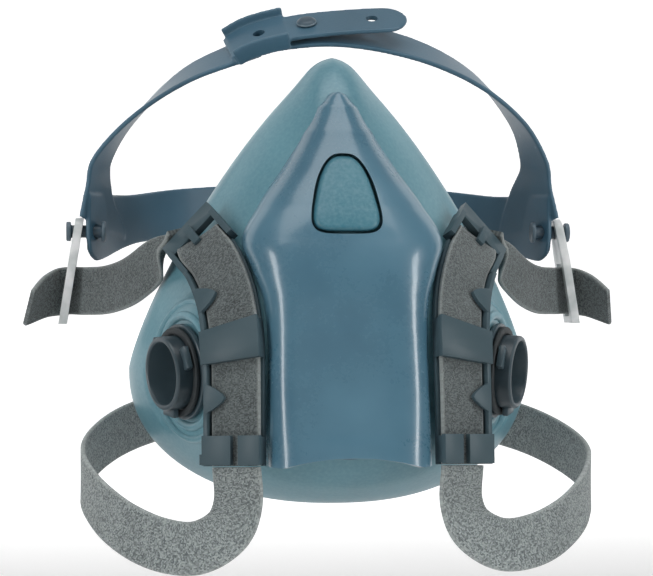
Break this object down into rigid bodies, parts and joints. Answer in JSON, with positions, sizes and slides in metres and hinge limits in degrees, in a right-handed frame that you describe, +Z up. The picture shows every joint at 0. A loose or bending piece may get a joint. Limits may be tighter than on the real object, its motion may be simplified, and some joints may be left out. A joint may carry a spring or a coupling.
{
  "type": "half-face respirator",
  "caption": "Reusable half-face respirator: silicone facepiece, front cover, bayonet ports, valves, elastic straps and a two-band head cradle.",
  "frame": {"origin": "middle of the face opening, on the mask's mid-plane, where the wearer's face carries it", "axes": "+X to the wearer's left, -Y straight ahead of the wearer, +Z up"},
  "size_m": [0.2004, 0.1643, 0.1813],
  "materials": {
    "face": "satin moulded silicone, teal blue",
    "cover": "smooth satin moulded nylon, grey blue",
    "badge": "satin silicone insert in a moulded groove",
    "adapter": "plain moulded plastic",
    "port": "satin moulded plastic, dark blue grey",
    "gasket": "matt black rubber",
    "valve": "translucent pale silicone",
    "yoke": "satin moulded plastic, dark slate blue",
    "strap": "heathered grey woven elastic",
    "slide": "milky translucent moulded plastic",
    "cradle": "fine-grained moulded polyethylene, slate blue"
  },
  "bodies": {
    "mask": {"facepiece": "face", "centre_adapter": "adapter", "front_cover": "cover", "cover_badge": "badge", "exhalation_seat": "adapter", "port_left": "port", "port_right": "port", "port_gasket_left": "gasket", "port_gasket_right": "gasket", "inhalation_seat_left": "adapter", "inhalation_seat_right": "adapter", "yoke_left": "yoke", "yoke_right": "yoke", "yoke_loop_left": "yoke", "yoke_loop_right": "yoke", "front_strap_left": "strap", "front_strap_right": "strap"},
    "exhalation_valve": {"exhalation_flap": "valve"},
    "inhalation_valve_left": {"inhalation_flap_left": "valve"},
    "inhalation_valve_right": {"inhalation_flap_right": "valve"},
    "upper_harness": {"upper_strap_left": "strap", "upper_strap_right": "strap", "strap_slide_left": "slide", "strap_slide_right": "slide", "slide_stud_left": "slide", "slide_stud_right": "slide"},
    "cradle": {"cradle_rear": "cradle", "crown_left": "cradle", "crown_right": "cradle", "crown_stud": "cradle"},
    "neck_harness": {"neck_strap_left": "strap", "neck_strap_right": "strap", "clasp_hook": "cradle", "clasp_eye": "cradle"}
  },
  "joints": [
    {"name": "exhalation_lift", "type": "slide", "parent": "mask", "child": "exhalation_valve", "axis": [0, -1, 0], "range_m": [0, 0.0012], "stiffness_N_per_m": 20},
    {"name": "inhalation_lift_left", "type": "slide", "parent": "mask", "child": "inhalation_valve_left", "axis": [-0.9039, 0.422, 0.0698], "range_m": [0, 0.0012], "stiffness_N_per_m": 20},
    {"name": "inhalation_lift_right", "type": "slide", "parent": "mask", "child": "inhalation_valve_right", "axis": [0.9039, 0.422, 0.0698], "range_m": [0, 0.0012], "stiffness_N_per_m": 20},
    {"name": "upper_strap_swing", "type": "hinge", "parent": "mask", "child": "upper_harness", "pos_m": [0, -0.009, 0.0185], "axis": [1, 0, 0], "range_deg": [-15, 25], "deforming": ["upper_strap_left", "upper_strap_right"]},
    {"name": "cradle_tilt", "type": "hinge", "parent": "upper_harness", "child": "cradle", "pos_m": [0, 0.038, 0.018], "axis": [1, 0, 0], "range_deg": [-35, 20]},
    {"name": "neck_strap_swing", "type": "hinge", "parent": "mask", "child": "neck_harness", "pos_m": [0, -0.0505, -0.055], "axis": [1, 0, 0], "range_deg": [-25, 10], "deforming": ["neck_strap_left", "neck_strap_right"]}
  ]
}
